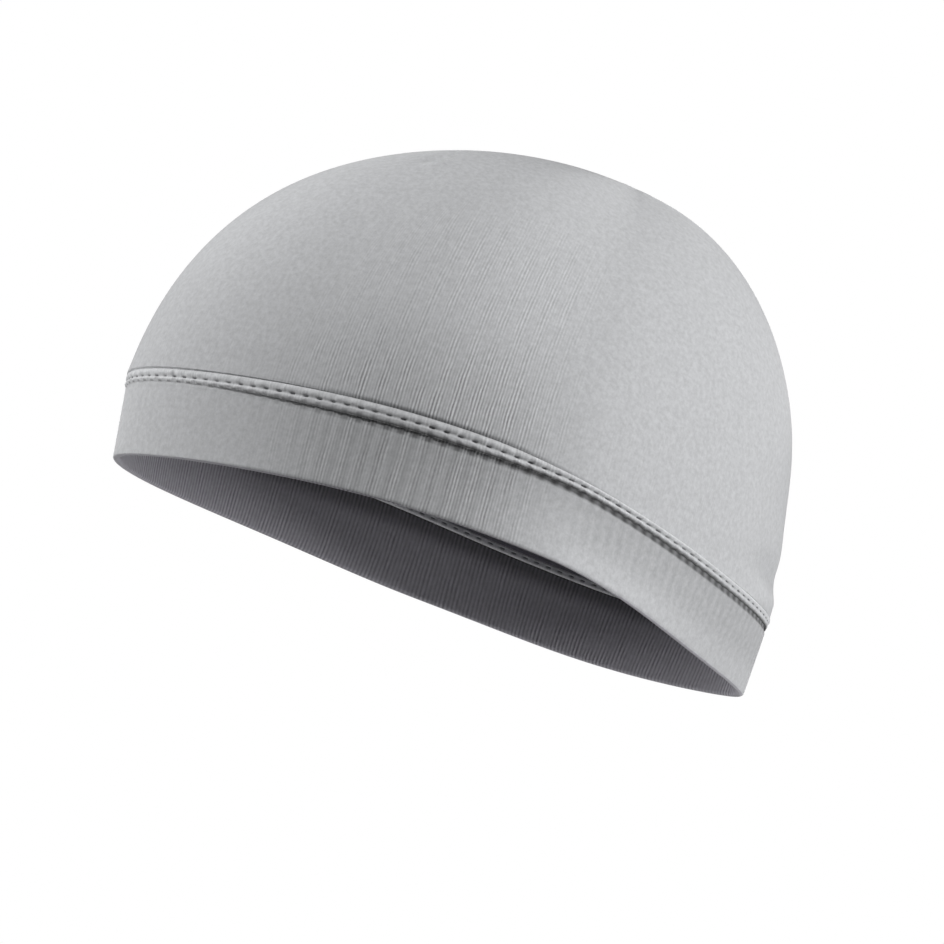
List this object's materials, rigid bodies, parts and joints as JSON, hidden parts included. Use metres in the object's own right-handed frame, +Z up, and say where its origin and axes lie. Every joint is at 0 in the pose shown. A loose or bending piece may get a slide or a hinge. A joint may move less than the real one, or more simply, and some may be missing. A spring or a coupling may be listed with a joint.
{
  "type": "cycling skull cap",
  "caption": "Close-fitting light-grey jersey skull cap, smooth dome, raised twin-stitched seam and folded double band.",
  "frame": {"origin": "middle of the rim opening, where the head goes in", "axes": "+Z up through the crown, -Y towards the forehead, +X towards the wearer's left"},
  "size_m": [0.1574, 0.201, 0.1317],
  "materials": {
    "crown_jersey": "fine brushed stretch jersey",
    "seam_welt": "twin-needle stitched jersey",
    "band_jersey": "fine ribbed stretch jersey"
  },
  "bodies": {
    "root": {"crown": "crown_jersey", "joining_seam": "seam_welt", "band": "band_jersey"}
  },
  "joints": []
}
